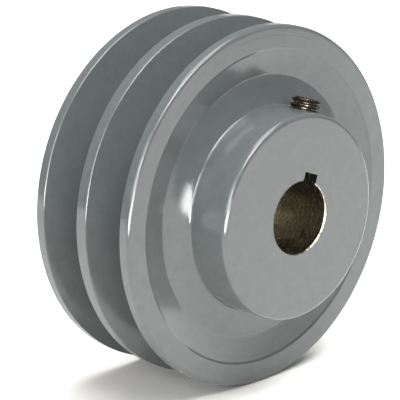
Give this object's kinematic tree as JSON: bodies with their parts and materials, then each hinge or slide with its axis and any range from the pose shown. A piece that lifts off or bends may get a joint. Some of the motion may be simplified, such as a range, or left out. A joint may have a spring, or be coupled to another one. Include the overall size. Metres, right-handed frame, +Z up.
{
  "type": "v-belt pulley",
  "caption": "Cast V-belt pulley with deep V grooves around its rim, a projecting hub, a keyed bore and a socket set screw over the keyway.",
  "frame": {"origin": "on the bore's axis, midway between the hub's face and the rear face", "axes": "Y along the bore's axis with the hub towards -Y; +Z up as it stands on its flanges; the keyway and the set screw lean 21 degrees from +Z towards +X"},
  "size_m": [0.0952, 0.0476, 0.0952],
  "materials": {
    "grey_paint": "gloss",
    "black_oxide_steel": "satin"
  },
  "bodies": {
    "pulley": {"pulley_casting": "grey_paint"},
    "set_screw": {"set_screw": "black_oxide_steel"}
  },
  "joints": [
    {"name": "set_screw_travel", "type": "slide", "parent": "pulley", "child": "set_screw", "axis": [0.3584, 0, 0.9336], "range_m": [-0.00564, 0.00706]}
  ]
}
